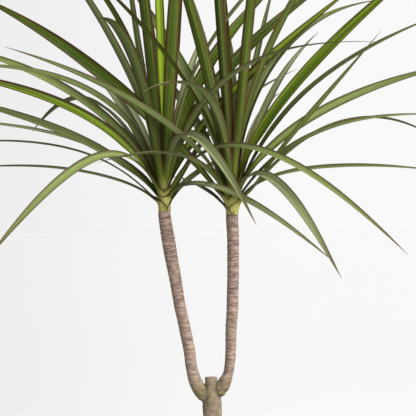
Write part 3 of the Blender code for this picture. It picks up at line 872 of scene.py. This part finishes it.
# How light, how young and how much painted sheen a leaf of each look has, from 0 to 1. Lightness here is
# partly the leaf's own green and partly painted light and shade
LEAF_LOOKS = {
    "deep": (0.10, 0.00, 0.00),
    "green": (0.55, 0.00, 0.00),
    "light": (0.90, 0.15, 0.00),
    "bright": (0.90, 0.60, 0.00),
    "silver": (0.90, 0.50, 0.50),
    "dusky": (0.25, 0.00, 0.28),
    "grey": (0.75, 0.00, 0.50),
    "pale": (0.90, 0.00, 0.90),
}
# The look of each leaf in the rows above, in their order; a look's lightness is partly painted light and
# shade
LEFT_LOOKS = (
    "dusky", "grey", "light", "grey", "pale", "grey", "grey", "grey", "grey", "grey", "bright", "dusky",
    "deep", "green", "bright", "light", "green", "deep", "grey", "silver", "grey", "pale", "pale", "pale",
    "green",
)
RIGHT_LOOKS = (
    "deep", "dusky", "bright", "grey", "light", "grey", "deep", "green", "grey", "deep", "light",
    "dusky", "dusky", "silver", "grey", "grey", "grey", "dusky", "pale", "grey", "grey",
)
SHADE_SPREAD = 0.16
# Leaves that the others hide: how many, and the first one's compass turn in degrees (180 is away from -Y)
LEFT_HIDDEN = (12, 150.0)
RIGHT_HIDDEN = (12, 205.0)
GOLDEN_TURN = 137.508
HIDDEN_SEED = 7
STATIONS = (0.0, 0.07, 0.18, 0.31, 0.45, 0.59, 0.73, 0.87, 1.0)
FREE_STATION = 2
CLEAR_THICKNESS = 0.004
SWAY_STEP = 0.010
MOST_SWAYS = 12
MOST_HIDDEN_SWAYS = 4
OTHER_CROWN_WEIGHT = 4
VIEWPOINT = Vector((-0.005, -2.000, 0.654))
CANE_PEG_RADIUS = 0.0058
# Radius and height along a shoot: as a plain solid, for testing what a leaf touches, and as it shows
SHOOT_PROFILE = (
    (0.0, GAP), (CANE_PEG_RADIUS + GAP, GAP), (0.0078, -0.0030), (0.0086, -0.0030), (0.0088, 0.0030),
    (0.0080, 0.0100), (0.0064, 0.0200), (0.0046, 0.0320), (0.0028, 0.0440), (0.0, 0.0560),
)
CORE_PROFILE = (
    (0.0, 0.0006), (0.0072, 0.0006), (0.0074, 0.004), (0.0060, 0.016), (0.0042, 0.030), (0.0024, 0.046),
    (0.0, 0.060),
)
TRIAL_SIDES = 12
CORE_SIDES = 32
FINE_STATIONS = 46
MOST_BOW = 2.6
LEAF_NOTES = ("along", "rim", "across", "underside", "shade", "young", "margin", "painted_sheen")
ACROSS = (-1.0, -0.88, -0.62, -0.32, 0.0, 0.32, 0.62, 0.88, 1.0)
# Half-width along a leaf that is 1 wide: of the plain solid, and of the real leaf
PLAIN_BLADE = (
    (0.0, 0.42), (0.07, 0.36), (0.18, 0.37), (0.45, 0.50), (0.65, 0.46), (0.87, 0.23), (1.0, 0.04),
)
REAL_BLADE = (
    (0.0, 0.40), (0.10, 0.39), (0.20, 0.41), (0.32, 0.46), (0.45, 0.50), (0.58, 0.49), (0.70, 0.43),
    (0.80, 0.335), (0.88, 0.225), (0.94, 0.125), (0.98, 0.05), (1.0, 0.012),
)
# How tightly a leaf is curled across: round the shoot at its base, a shallow channel further out
CURL = ((0.0, 0.0080), (0.04, 0.0092), (0.10, 0.0125), (0.22, 0.0200), (0.6, 0.0280), (1.0, 0.0180))
MARGIN_RED = (0.062, 0.0100, 0.0085)
BLUSH = (0.040, 0.020, 0.007)
DRY_TIP = (0.150, 0.090, 0.045)
DUST = (0.110, 0.120, 0.050)
YELLOWED = (0.125, 0.165, 0.018)


def hidden_leaves(count, first_turn):
    """Leaves at the back and in the heart of a crown, spaced by the golden angle, younger ones steeper."""
    draw = random.Random(HIDDEN_SEED)
    rows = []
    for number in range(count):
        age = number / (count - 1)
        spread = 30.0 - 18.0 * age
        turn = 180.0 + spread * math.sin(math.radians(first_turn + GOLDEN_TURN * number))
        tip_rise = math.radians(28.0 + 52.0 * age + draw.uniform(-4.0, 4.0))
        knee_rise = math.radians(52.0 + 32.0 * age + draw.uniform(-3.0, 3.0))
        length = 0.400 - 0.110 * max(0.0, age - 0.6) / 0.4 + draw.uniform(-0.02, 0.02)
        out = Vector((math.sin(math.radians(turn)), -math.cos(math.radians(turn)), 0.0))
        tip = out * length * math.cos(tip_rise) + Vector((0.0, 0.0, length * math.sin(tip_rise)))
        share = 0.45 * math.cos(knee_rise) / math.cos(tip_rise)
        knee = (share, 0.45 * length * math.sin(knee_rise))
        rows.append((tuple(tip), knee, draw.uniform(0.011, 0.014), draw.uniform(-20.0, 20.0)))
    return rows


def bend_of(row):
    """The root, knee and tip of a leaf's curve, its flat heading, and how steeply it leaves the shoot."""
    tip, (share, knee_height), _, _ = row
    tip = Vector(tip)
    knee = Vector((tip.x * share, tip.y * share, knee_height))
    rise = math.degrees(math.atan2(knee.z, math.hypot(knee.x, knee.y)))
    steep = max(0.0, rise - 30.0) / 60.0
    flat = Vector((tip.x, tip.y, 0.0)).normalized()
    root = flat * (0.0065 - 0.0035 * steep) + Vector((0.0, 0.0, 0.002 + 0.030 * steep**2))
    return root, knee, tip, flat, steep


def leaf_frame(row, s):
    """Centre, side and up vectors at a share s of a leaf's length."""
    root, knee, tip, flat, _ = bend_of(row)
    across = Vector((-flat.y, flat.x, 0.0))
    centre = root * (1.0 - s) ** 2 + knee * 2.0 * s * (1.0 - s) + tip * s**2
    along = ((knee - root) * (1.0 - s) + (tip - knee) * s).normalized()
    side = (across - along * across.dot(along)).normalized()
    up = along.cross(side)
    rolled = math.radians(row[3]) * min(1.0, s / 0.3)
    side_now = side * math.cos(rolled) + up * math.sin(rolled)
    up_now = up * math.cos(rolled) - side * math.sin(rolled)
    return centre, side_now, up_now


def trial_tree(row, origin, first_station):
    """The plain blade, made thick, for testing what it would touch."""
    points = []
    for s in STATIONS[first_station:]:
        centre, side, up = leaf_frame(row, s)
        half = row[2] * share_along(PLAIN_BLADE, s)
        for across, above in ((-1.0, 0.5), (1.0, 0.5), (1.0, -0.5), (-1.0, -0.5)):
            points.append(origin + centre + side * half * across + up * CLEAR_THICKNESS * above)
    faces = []
    for number in range(len(STATIONS) - first_station - 1):
        low = 4 * number
        high = low + 4
        for a, b in ((0, 1), (3, 2)):
            first = (low + a, low + b, high + a)
            second = (low + b, high + b, high + a)
            faces += [first, second] if a == 0 else [first[::-1], second[::-1]]
        for a, b in ((1, 2), (3, 0)):
            faces += [(low + a, low + b, high + a), (low + b, high + b, high + a)]
    last = len(points) - 4
    faces += [(0, 3, 1), (3, 2, 1), (last, last + 1, last + 3), (last + 3, last + 1, last + 2)]
    return BVHTree.FromPolygons(points, faces)


def turned_about(origin):
    """The place(radius, height, angle) of a shell turned about the upright line through origin."""
    def place(radius, height, angle):
        return origin + spot_round(radius, angle, height)
    return place


def sway_lengths(most):
    """0, then ever longer steps to one side and the other, up to that many."""
    yield 0.0
    for step in range(1, most + 1):
        yield step * SWAY_STEP
        yield -step * SWAY_STEP


def lay_out(crowns):
    """The rows of each crown with their tips moved as little as it takes for every leaf to pass the others.

    A leaf that the front shows moves along the line of sight. One of the hidden ones moves sideways, and is
    left out where it finds no clear place.
    """
    placed = []
    for number, (origin, _, _) in enumerate(crowns):
        shoot = BVHTree.FromPolygons(*turned_shell(SHOOT_PROFILE, TRIAL_SIDES, turned_about(origin)))
        placed.append((number, shoot, None))
    settled = [[] for _ in crowns]
    longest = max(len(shown) + len(hidden) for _, shown, hidden in crowns)
    for index in range(longest):
        for number, (origin, shown, hidden) in enumerate(crowns):
            if index >= len(shown) + len(hidden):
                continue
            if index < len(shown):
                tip, knee, width, roll = shown[index]
                heading = (origin + Vector(tip) - VIEWPOINT).normalized()
                most = MOST_SWAYS
            else:
                tip, knee, width, roll = hidden[index - len(shown)]
                heading = Vector((-tip[1], tip[0], 0.0)).normalized()
                most = MOST_HIDDEN_SWAYS
            best = None
            for length in sway_lengths(most):
                row = (Vector(tip) + heading * length, knee, width, roll)
                whole = trial_tree(row, origin, 0)
                free = trial_tree(row, origin, FREE_STATION)
                crossed = 0
                for other, other_whole, other_free in placed:
                    if other != number:
                        crossed += OTHER_CROWN_WEIGHT * len(whole.overlap(other_whole))
                    elif other_free is not None:
                        crossed += len(free.overlap(other_free))
                if best is None or crossed < best[0]:
                    best = (crossed, row, whole, free)
                if crossed == 0:
                    break
            if best[0] > 0 and index >= len(shown):
                continue
            settled[number].append(best[1])
            placed.append((number, best[2], best[3]))
    return settled


def leaf_half_width(s, width):
    """Half-width of the real leaf: a clasping base, a narrow neck, widest near the middle, a long point."""
    clasp = 0.0125 * max(0.0, 1.0 - s / 0.070) ** 1.4
    return width * share_along(REAL_BLADE, s) + clasp


def leaf_shell(row, origin, hug, draw):
    """Points, faces, notes and steepness of a leaf. A note is how far along, from the rim and across, and
    whether it is the underside.
    """
    root, knee, tip, flat, steep = bend_of(row)
    length = (knee - root).length + (tip - knee).length
    foot = flat * hug + Vector((0.0, 0.0, max(-0.0022, root.z - 0.0075)))
    clasp_way = (flat * 0.10 + Vector((0.0, 0.0, 1.0))).normalized()
    sway_start = draw.uniform(0.0, 2 * math.pi)
    twist = math.radians(draw.uniform(-7.0, 7.0))
    fold = draw.uniform(0.15, 0.50)
    points = []
    notes = []
    for number in range(FINE_STATIONS + 1):
        s = (number / FINE_STATIONS) ** 1.25
        centre, side, up = leaf_frame(row, s)
        clasp = max(0.0, 1.0 - s / 0.060) ** 1.5
        hugging = foot + clasp_way * s * length
        centre = centre.lerp(hugging, clasp)
        upright = Vector((-flat.y, flat.x, 0.0))
        side = side.lerp(upright, clasp).normalized()
        up = up.lerp(-flat, clasp)
        up = (up - side * up.dot(side)).normalized()
        turn = twist * math.sin(2.2 * math.pi * s + sway_start) * min(1.0, s / 0.3)
        turned = side * math.cos(turn) + up * math.sin(turn)
        up = up * math.cos(turn) - side * math.sin(turn)
        side = turned
        centre = centre + up * 0.0007 * math.sin(9 * s + sway_start) * min(1.0, s / 0.2)
        half = leaf_half_width(s, row[2])
        curl = share_along(CURL, s)
        curl += (hug - curl) * clasp
        thick = 0.00030 + 0.00045 * max(0.0, 1.0 - s / 0.15)
        ring = []
        for under, order in ((0.0, ACROSS), (1.0, ACROSS[::-1])):
            for place in order:
                bow = max(-MOST_BOW, min(MOST_BOW, place * half / curl))
                body = thick * (1.0 - 0.55 * abs(place) ** 3)
                lift = curl * (1.0 - math.cos(bow)) + fold * half * abs(place) * min(1.0, s / 0.2)
                spread = curl * math.sin(bow)
                inner = up * math.cos(bow) - side * math.sin(bow)
                point = centre + side * spread + up * lift + inner * body * (0.5 - under)
                ring.append(point + origin)
                notes.append((s, half * (1.0 - abs(place)), place * half, under))
        points += ring
    ring_size = 2 * len(ACROSS)
    faces = ring_faces(FINE_STATIONS + 1, ring_size)
    last = FINE_STATIONS * ring_size
    half_ring = len(ACROSS)
    for start, outward in ((0, False), (last, True)):
        for step in range(half_ring - 1):
            a = start + step
            b = start + step + 1
            c = start + ring_size - 2 - step
            d = start + ring_size - 1 - step
            faces.append((a, b, c, d) if outward else (d, c, b, a))
    return points, faces, notes, steep


def leaf_green():
    """A satin leaf: green with fine parallel veins, a dark red margin, a pale base, a dull underside, and a
    pale grey painted sheen where a leaf's note asks for it.
    """
    finish, tree, shader = new_finish("leaf_green", 0.5)
    shader.inputs["IOR"].default_value = 1.38
    shader.inputs["Specular IOR Level"].default_value = 0.12
    along = noted(tree, "along")
    rim = noted(tree, "rim")
    under = noted(tree, "underside")
    shade = noted(tree, "shade")
    margin = noted(tree, "margin")
    wear = weathered(tree, 34.0, 700.0, 300.0)
    lengthwise = add_node(tree, "ShaderNodeCombineXYZ", [
        ("X", product(tree, noted(tree, "across"), 1100.0)),
        ("Y", product(tree, along, 3.0)),
        ("Z", product(tree, shade, 60.0)),
    ]).outputs[0]
    stripes = noise_at(tree, lengthwise, 1.0, 3.0, 0.6)
    bands = noise_at(tree, lengthwise, 0.24, 1.0)
    veined = total(tree, product(tree, stripes, 0.45), product(tree, bands, 0.55))
    broad_stripes = ramped(tree, stripes, 0.3, 0.7)

    dark_vein = tint_between(tree, shade, (0.011, 0.024, 0.0012), (0.024, 0.050, 0.0020))
    light_vein = tint_between(tree, shade, (0.060, 0.093, 0.0045), (0.145, 0.205, 0.0120))
    grown = tint_between(tree, ramped(tree, veined, 0.41, 0.60), dark_vein, light_vein)
    fresh_veins = ramped(tree, veined, 0.36, 0.62)
    fresh = tint_between(tree, fresh_veins, (0.085, 0.160, 0.0040), (0.215, 0.330, 0.0120))
    upper = tint_between(tree, noted(tree, "young"), grown, fresh)
    dusty = tint_between(tree, product(tree, wear["Clouds"], 0.10), upper, DUST)
    lower = tint_between(tree, broad_stripes, (0.030, 0.046, 0.006), (0.075, 0.100, 0.018))
    both_sides = tint_between(tree, product(tree, under, 0.75), dusty, lower)
    sheen_veins = ramped(tree, veined, 0.36, 0.64)
    # Painted sheen: the pale grey-green that stands for light glancing off a leaf's outer part
    sheened = tint_between(tree, sheen_veins, (0.112, 0.132, 0.052), (0.225, 0.255, 0.120))
    blade = tint_between(tree, noted(tree, "painted_sheen"), both_sides, sheened)
    yellowing = product(tree, ramped(tree, along, 0.20, 0.03), 0.55)
    yellowed = tint_between(tree, yellowing, blade, YELLOWED)
    base = tint_between(tree, broad_stripes, (0.240, 0.232, 0.056), (0.430, 0.405, 0.135))
    based = tint_between(tree, ramped(tree, along, 0.070, 0.012), yellowed, base)

    narrow_rim = product(tree, ramped(tree, rim, 0.0021, 0.0012), margin)
    broken_rim = product(tree, narrow_rim, ramped(tree, wear["Clouds"], -0.9, 0.3))
    edged = tint_between(tree, product(tree, broken_rim, 0.96), based, MARGIN_RED)
    wide_rim = product(tree, ramped(tree, rim, 0.0046, 0.0014), margin)
    blushed = tint_between(tree, product(tree, wide_rim, 0.55), edged, BLUSH)
    dry = product(tree, ramped(tree, along, 0.965, 0.995), ramped(tree, shade, 0.45, 0.60))
    tree.links.new(tint_between(tree, dry, blushed, DRY_TIP), shader.inputs["Base Color"])
    dullness = ramped(tree, total(tree, under, wear["Grain"]), -2.2, 3.4, False)
    tree.links.new(dullness, shader.inputs["Roughness"])
    bumped(tree, shader, stripes, 0.00030, 0.8)
    return finish


def make_crown(name, origin, rows, looks, node, finish, seed):
    """The leaves of one crown, each hugging the shoot inside the last, with its own lightness, partly
    painted light and shade, and its own share of painted sheen.
    """
    draw = random.Random(seed)
    by_height = sorted(range(len(rows)), key=lambda number: bend_of(rows[number])[0].z)
    points = []
    faces = []
    notes = {note: [] for note in LEAF_NOTES}
    for rank, number in enumerate(by_height):
        hug = 0.0080 - 0.0044 * rank / (len(rows) - 1)
        made, made_faces, made_notes, steep = leaf_shell(rows[number], origin, hug, draw)
        first = len(points)
        points += made
        faces += [tuple(first + corner for corner in face) for face in made_faces]
        chance = draw.random()
        youth = draw.uniform(0.0, 1.0)
        margin = draw.uniform(0.5, 1.0)
        if number < len(looks):
            shade, young, sheen_share = LEAF_LOOKS[looks[number]]
            shade += SHADE_SPREAD * (chance - 0.5)
        else:
            tip = rows[number][0]
            shade = chance
            young = clamped((steep - 0.80) / 0.12) * youth
            # Hidden leaves whose tips reach far to the front and back, and those that hang low, get painted
            # sheen
            far = clamped((abs(tip.y) - 0.15) / 0.08)
            low = clamped((0.26 - tip.z) / 0.14)
            sheen_share = max(0.8 * far, 0.6 * low)
        for along, rim, across, under in made_notes:
            # The painted sheen grows towards the tip, and the margin shows less under it
            painted_sheen = sheen_share * clamped((along - 0.10) / 0.30)
            margin_under_sheen = margin * (1.0 - 0.5 * painted_sheen)
            here = (along, rim, across, under, shade, young, margin_under_sheen, painted_sheen)
            for note, value in zip(LEAF_NOTES, here):
                notes[note].append(value)
    crown = piece(name, points, faces, finish, node, 50)
    give_notes(crown.data, notes)


def shoot_core(name, origin, node, finish):
    """The slim green core that the leaf bases wrap."""
    outline = filled_in(rounded(CORE_PROFILE, 0.002), 0.004)
    points, faces = turned_shell(outline, CORE_SIDES, turned_about(origin))
    core = piece(name, points, faces, finish, node)
    base_of_a_leaf = (0.02, 0.02, 0.0, 0.0, 0.5, 0.6, 0.0, 0.0)
    give_notes(core.data, {note: [value] * len(points) for note, value in zip(LEAF_NOTES, base_of_a_leaf)})


def make_crowns():
    left_rows, right_rows = lay_out((
        (LEFT_CROWN, LEFT_LEAVES, hidden_leaves(*LEFT_HIDDEN)),
        (RIGHT_CROWN, RIGHT_LEAVES, hidden_leaves(*RIGHT_HIDDEN)),
    ))
    finish = leaf_green()
    make_crown("left_leaves", LEFT_CROWN, left_rows, LEFT_LOOKS, "crown_left", finish, 21)
    make_crown("right_leaves", RIGHT_CROWN, right_rows, RIGHT_LOOKS, "crown_right", finish, 22)
    shoot_core("left_shoot", LEFT_CROWN, "crown_left", finish)
    shoot_core("right_shoot", RIGHT_CROWN, "crown_right", finish)


make_crowns()


# Studio
# A plain pale floor and backdrop, darker at the left. Soft light comes from the upper right and in front,
# with a paler glow from behind. The camera is level with the feet of the crowns, as in the photo.

FRAME_WIDTH = 0.541
CAMERA_PLACE = Vector((-0.0052, -2.0, 0.654))
SENSOR = 36.0
FLOOR_RADIUS = 40.0
FLOOR_DROP = -0.0002
FLOOR_GREY = (0.36, 0.36, 0.36)
WINDOW_WAY = (-0.60, 0.42, -0.68)
WINDOW_STRENGTH = 3.9
WINDOW_SOFTNESS = 36.0
LANTERN_PLACE = (1.3, -2.5, 1.3)
LANTERN_RADIUS = 0.6
LANTERN_POWER = 240.0


def backdrop_tone(tree, aside):
    """How pale the backdrop is, by how far to the right it lies: a little darker at the left."""
    return total(tree, product(tree, ramped(tree, aside, -0.20, 0.06), 0.11), 0.835)


def make_floor():
    floor = new_object("floor", bpy.data.meshes.new("floor"))
    body = bmesh.new()
    bmesh.ops.create_circle(body, cap_ends=True, segments=96, radius=FLOOR_RADIUS)
    body.to_mesh(floor.data)
    body.free()
    floor.location.z = FLOOR_DROP
    finish, tree, shader = new_finish("pale_floor", 0.9)
    ahead = add_node(tree, "ShaderNodeMapping", [
        ("Vector", object_place(tree)), ("Location", (0.0, 2.0, 1.0))]).outputs[0]
    reach = add_node(tree, "ShaderNodeVectorMath", [("Vector", ahead)], operation="LENGTH").outputs["Value"]
    across = add_node(tree, "ShaderNodeSeparateXYZ", [("Vector", ahead)]).outputs["X"]
    aside = add_node(tree, "ShaderNodeMath", [(0, across), (1, reach)], operation="DIVIDE").outputs[0]
    # Seen by the camera the floor is darker at the left, painted shade that matches the backdrop, and a
    # touch lighter far off, painted light where the lantern no longer reaches; other rays meet plain grey
    far = total(tree, product(tree, ramped(tree, reach, 4.0, 11.0), 0.006), 0.536)
    shown = product(tree, backdrop_tone(tree, aside), far)
    seen = add_node(tree, "ShaderNodeLightPath").outputs["Is Camera Ray"]
    tree.links.new(tint_between(tree, seen, FLOOR_GREY, shown), shader.inputs["Base Color"])
    floor.data.materials.append(finish)


def paper_lantern():
    """A large soft globe of light in front, at the right, which leaves no edge on the floor."""
    data = bpy.data.lights.new("lantern", "POINT")
    data.shadow_soft_size = LANTERN_RADIUS
    data.energy = LANTERN_POWER
    new_object("lantern", data).location = LANTERN_PLACE


def window_light():
    """Even light from far away at the upper right, as through a wide window."""
    data = bpy.data.lights.new("window", "SUN")
    data.energy = WINDOW_STRENGTH
    data.angle = math.radians(WINDOW_SOFTNESS)
    new_object("window", data).rotation_euler = Vector(WINDOW_WAY).to_track_quat("-Z", "Y").to_euler()


def make_studio():
    make_floor()
    window_light()
    paper_lantern()
    world = bpy.data.worlds.new("studio")
    world.use_nodes = True
    tree = world.node_tree
    way = add_node(tree, "ShaderNodeSeparateXYZ", [
        ("Vector", add_node(tree, "ShaderNodeTexCoord").outputs["Generated"])])
    above = product(tree, ramped(tree, way.outputs["Z"], 0.15, 0.9), 0.45)
    side = product(tree, ramped(tree, way.outputs["X"], -0.7, 0.7, False), 0.40)
    behind = product(tree, ramped(tree, way.outputs["Y"], 0.2, 1.0), 1.10)
    fill = total(tree, total(tree, above, side), total(tree, behind, 0.22))
    seen = add_node(tree, "ShaderNodeLightPath").outputs["Is Camera Ray"]
    glow = tint_between(tree, seen, fill, backdrop_tone(tree, way.outputs["X"]))
    tree.links.new(glow, tree.nodes["Background"].inputs["Color"])
    bpy.context.scene.world = world
    bpy.context.scene.view_settings.view_transform = "Standard"
    data = bpy.data.cameras.new("camera")
    data.sensor_width = SENSOR
    data.lens = SENSOR * abs(CAMERA_PLACE.y) / FRAME_WIDTH
    camera = new_object("camera", data)
    camera.location = CAMERA_PLACE
    camera.rotation_euler = (math.pi / 2, 0.0, 0.0)
    bpy.context.scene.camera = camera


make_studio()
